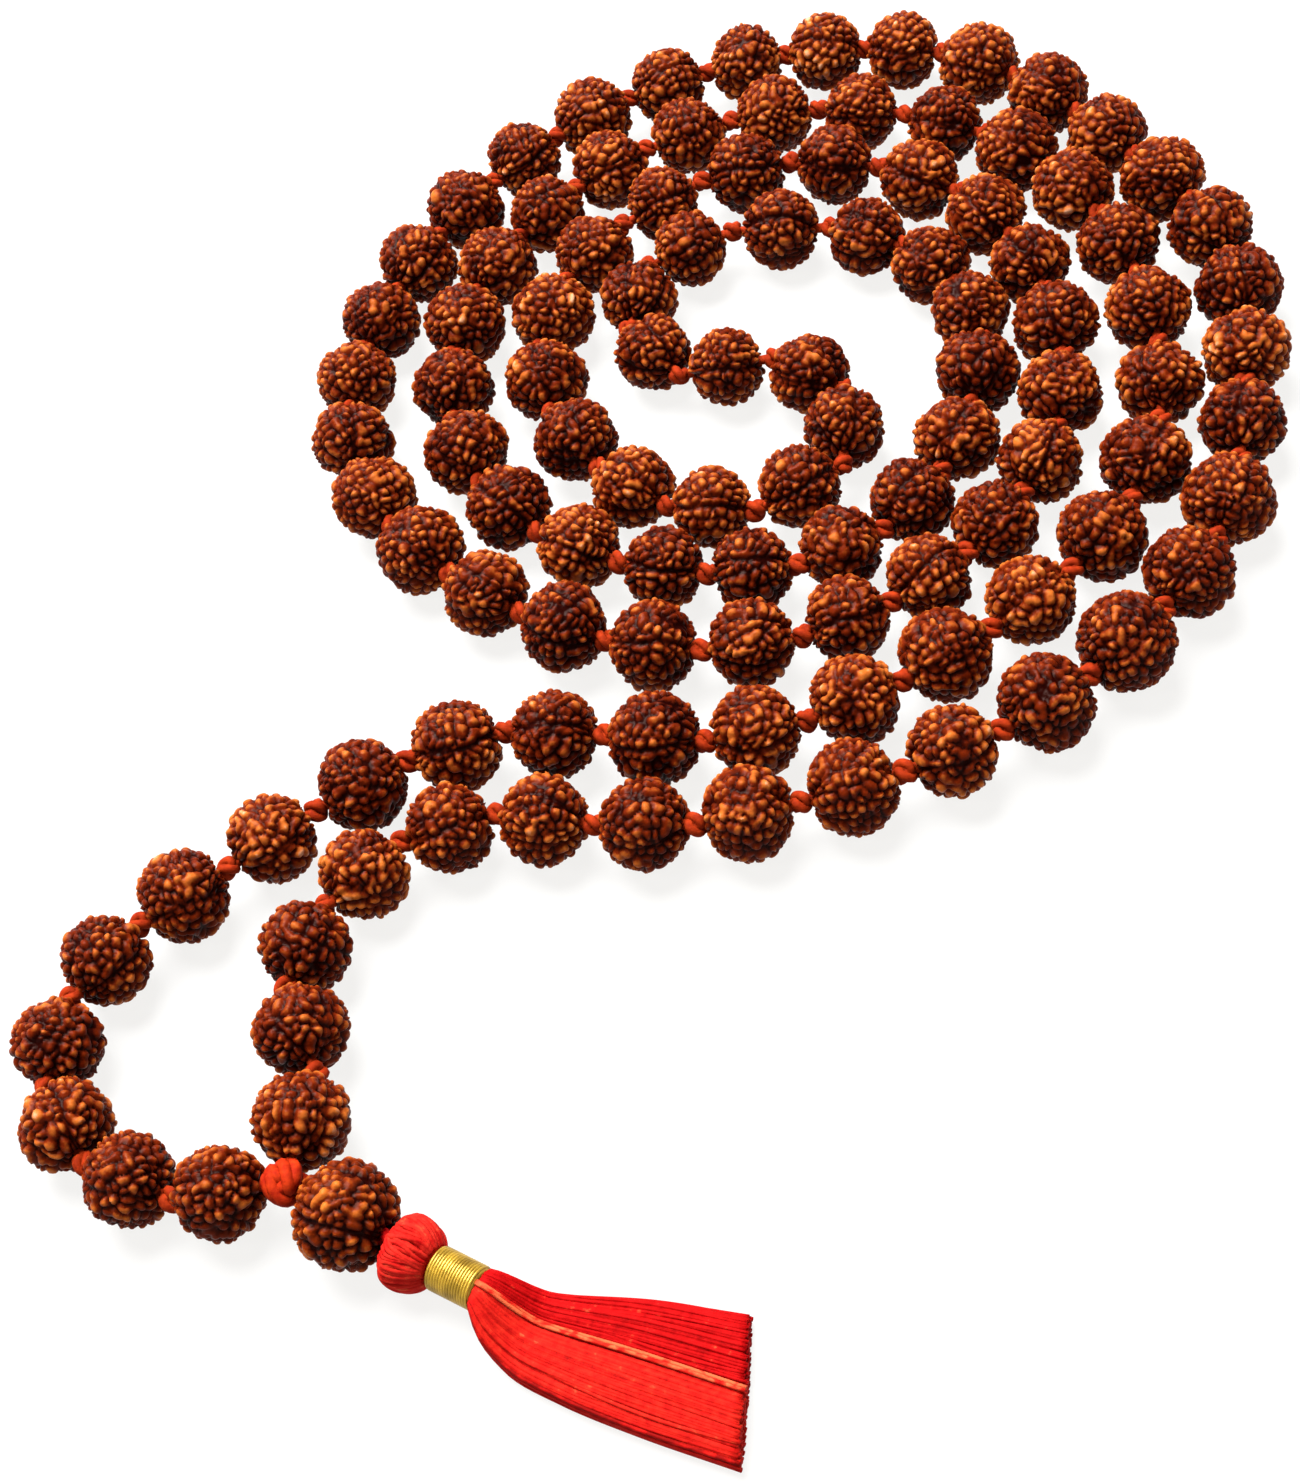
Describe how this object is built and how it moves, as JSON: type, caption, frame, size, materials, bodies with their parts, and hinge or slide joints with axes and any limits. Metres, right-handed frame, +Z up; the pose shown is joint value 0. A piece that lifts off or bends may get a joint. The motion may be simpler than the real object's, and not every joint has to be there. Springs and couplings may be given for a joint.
{
  "type": "mala prayer beads",
  "caption": "Strand of knotted prayer beads with a guru bead and a tassel, doubled and coiled flat.",
  "frame": {"origin": "middle of the base, on the surface that the strand lies on", "axes": "+Z up; +Y from the tassel end towards the far side of the coil; +X to the right"},
  "size_m": [0.1273, 0.1513, 0.0086],
  "materials": {
    "seed": "oiled",
    "guru_seed": "oiled",
    "thread": "twisted cord",
    "tassel_yarn": "silky yarn",
    "tassel_yarn_bright": "silky yarn",
    "gold_thread": "metallic thread"
  },
  "bodies": {
    "coil": {"thread_coil_1": "thread", "thread_coil_2": "thread", "thread_coil_3": "thread", "thread_coil_4": "thread", "thread_coil_5": "thread", "thread_coil_6": "thread", "beads_011_018": "seed", "beads_019_026": "seed", "beads_027_034": "seed", "beads_035_041": "seed", "beads_042_048": "seed", "beads_052_058": "seed", "beads_059_065": "seed", "beads_066_072": "seed", "beads_073_080": "seed", "beads_081_087": "seed", "beads_088_094": "seed", "beads_095_101": "seed"},
    "strand_near": {"thread_near_left": "thread", "thread_near_right": "thread"},
    "strand_middle": {"thread_middle_left": "thread", "thread_middle_right": "thread"},
    "front_loop": {"thread_front_left": "thread", "thread_front_right": "thread"},
    "joining_knot": {"joining_knot": "thread"},
    "guru_string": {"guru_string": "thread"},
    "guru_bead": {"guru_bead": "guru_seed"},
    "stopper_knot": {"stopper_knot": "tassel_yarn"},
    "tassel": {"tassel_loop": "tassel_yarn", "tassel_core": "tassel_yarn", "tassel_head": "tassel_yarn", "gold_wrap": "gold_thread", "skirt_back": "tassel_yarn", "skirt_front": "tassel_yarn_bright"},
    "fold_tip": {"thread_fold": "thread"},
    "bead_001": {"bead_001": "seed"},
    "bead_002": {"bead_002": "seed"},
    "bead_003": {"bead_003": "seed"},
    "bead_004": {"bead_004": "seed"},
    "bead_005": {"bead_005": "seed"},
    "bead_006": {"bead_006": "seed"},
    "bead_007": {"bead_007": "seed"},
    "bead_008": {"bead_008": "seed"},
    "bead_009": {"bead_009": "seed"},
    "bead_010": {"bead_010": "seed"},
    "bead_049": {"bead_049": "seed"},
    "bead_050": {"bead_050": "seed"},
    "bead_051": {"bead_051": "seed"},
    "bead_102": {"bead_102": "seed"},
    "bead_103": {"bead_103": "seed"},
    "bead_104": {"bead_104": "seed"},
    "bead_105": {"bead_105": "seed"},
    "bead_106": {"bead_106": "seed"},
    "bead_107": {"bead_107": "seed"},
    "bead_108": {"bead_108": "seed"}
  },
  "joints": [
    {"name": "lift_near", "type": "hinge", "parent": "coil", "child": "strand_near", "pos_m": [-0.00648, -0.01595, 0.00413], "axis": [-0.38, 0.925, 0.0049], "range_deg": [0, 35]},
    {"name": "lift_middle", "type": "hinge", "parent": "strand_near", "child": "strand_middle", "pos_m": [-0.02279, -0.01007, 0.00406], "axis": [-0.5839, 0.8118, 0.0079], "range_deg": [0, 35]},
    {"name": "lift_front", "type": "hinge", "parent": "strand_middle", "child": "front_loop", "pos_m": [-0.0355, -0.0125, 0.00401], "axis": [-0.9805, 0.1961, 0.0123], "range_deg": [0, 35]},
    {"name": "knot_swing", "type": "hinge", "parent": "front_loop", "child": "joining_knot", "pos_m": [-0.043, -0.043, 0.0043], "axis": [0, 0, 1], "range_deg": [-25, 18]},
    {"name": "guru_lift", "type": "hinge", "parent": "joining_knot", "child": "guru_string", "pos_m": [-0.043, -0.043, 0.0043], "axis": [-0.7314, -0.682, 0], "range_deg": [0, 45]},
    {"name": "guru_spin", "type": "hinge", "parent": "guru_string", "child": "guru_bead", "pos_m": [-0.0387, -0.04761, 0.0043], "axis": [0.682, -0.7314, 0], "continuous": true},
    {"name": "tassel_swing", "type": "hinge", "parent": "guru_string", "child": "stopper_knot", "pos_m": [-0.03584, -0.05068, 0.0043], "axis": [0, 0, 1], "range_deg": [-12, 12]},
    {"name": "tassel_lift", "type": "hinge", "parent": "stopper_knot", "child": "tassel", "pos_m": [-0.03584, -0.05068, 0.0043], "axis": [-0.7193, -0.6947, 0], "range_deg": [0, 8]},
    {"name": "fold_lift", "type": "hinge", "parent": "coil", "child": "fold_tip", "pos_m": [0.0135, 0.019, 0.0039], "axis": [-0.3624, -0.932, 0.002], "range_deg": [0, 25]},
    {"name": "bead_001_spin", "type": "hinge", "parent": "front_loop", "child": "bead_001", "pos_m": [-0.04813, -0.04186, 0.00406], "axis": [-0.9752, 0.2167, -0.0448], "continuous": true},
    {"name": "bead_002_spin", "type": "hinge", "parent": "front_loop", "child": "bead_002", "pos_m": [-0.05529, -0.03812, 0.0039], "axis": [-0.7528, 0.6582, 0.0032], "continuous": true},
    {"name": "bead_003_spin", "type": "hinge", "parent": "front_loop", "child": "bead_003", "pos_m": [-0.05979, -0.03112, 0.00391], "axis": [-0.2815, 0.9596, 0], "continuous": true},
    {"name": "bead_004_spin", "type": "hinge", "parent": "front_loop", "child": "bead_004", "pos_m": [-0.0595, -0.023, 0.00392], "axis": [0.3511, 0.9363, 0.0024], "continuous": true},
    {"name": "bead_005_spin", "type": "hinge", "parent": "front_loop", "child": "bead_005", "pos_m": [-0.05461, -0.01646, 0.00402], "axis": [0.7995, 0.6003, 0.0195], "continuous": true},
    {"name": "bead_006_spin", "type": "hinge", "parent": "front_loop", "child": "bead_006", "pos_m": [-0.04711, -0.01246, 0.0041], "axis": [0.9427, 0.3337, 0], "continuous": true},
    {"name": "bead_007_spin", "type": "hinge", "parent": "strand_middle", "child": "bead_007", "pos_m": [-0.03879, -0.00943, 0.00409], "axis": [0.9368, 0.3498, -0.0018], "continuous": true},
    {"name": "bead_008_spin", "type": "hinge", "parent": "strand_middle", "child": "bead_008", "pos_m": [-0.03023, -0.00681, 0.00409], "axis": [0.972, 0.2348, 0.0024], "continuous": true},
    {"name": "bead_009_spin", "type": "hinge", "parent": "strand_near", "child": "bead_009", "pos_m": [-0.02145, -0.00588, 0.00411], "axis": [0.9996, -0.0274, 0], "continuous": true},
    {"name": "bead_010_spin", "type": "hinge", "parent": "strand_near", "child": "bead_010", "pos_m": [-0.01298, -0.00795, 0.00413], "axis": [0.8992, -0.4375, 0.0063], "continuous": true},
    {"name": "bead_049_spin", "type": "hinge", "parent": "fold_tip", "child": "bead_049", "pos_m": [0.0195, 0.0245, 0.00388], "axis": [0.5812, -0.8137, 0], "continuous": true},
    {"name": "bead_050_spin", "type": "hinge", "parent": "fold_tip", "child": "bead_050", "pos_m": [0.0205, 0.0165, 0.0039], "axis": [-0.3162, -0.9487, 0.0041], "continuous": true},
    {"name": "bead_051_spin", "type": "hinge", "parent": "fold_tip", "child": "bead_051", "pos_m": [0.0145, 0.011, 0.00392], "axis": [-0.9762, -0.2169, 0], "continuous": true},
    {"name": "bead_102_spin", "type": "hinge", "parent": "strand_near", "child": "bead_102", "pos_m": [-0.00798, -0.02031, 0.00406], "axis": [-0.9206, 0.3904, -0.0088], "continuous": true},
    {"name": "bead_103_spin", "type": "hinge", "parent": "strand_near", "child": "bead_103", "pos_m": [-0.01583, -0.0165, 0.00402], "axis": [-0.8766, 0.4812, 0], "continuous": true},
    {"name": "bead_104_spin", "type": "hinge", "parent": "strand_middle", "child": "bead_104", "pos_m": [-0.02384, -0.01419, 0.00397], "axis": [-0.9989, 0.046, -0.0132], "continuous": true},
    {"name": "bead_105_spin", "type": "hinge", "parent": "front_loop", "child": "bead_105", "pos_m": [-0.03176, -0.01601, 0.00392], "axis": [-0.8823, -0.4708, 0.001], "continuous": true},
    {"name": "bead_106_spin", "type": "hinge", "parent": "front_loop", "child": "bead_106", "pos_m": [-0.03776, -0.02151, 0.00392], "axis": [-0.5396, -0.8419, 0.0013], "continuous": true},
    {"name": "bead_107_spin", "type": "hinge", "parent": "front_loop", "child": "bead_107", "pos_m": [-0.0395, -0.0295, 0.00399], "axis": [0.1104, -0.9938, 0.0125], "continuous": true},
    {"name": "bead_108_spin", "type": "hinge", "parent": "front_loop", "child": "bead_108", "pos_m": [-0.04074, -0.03791, 0.00415], "axis": [-0.406, -0.9135, 0.026], "continuous": true}
  ]
}
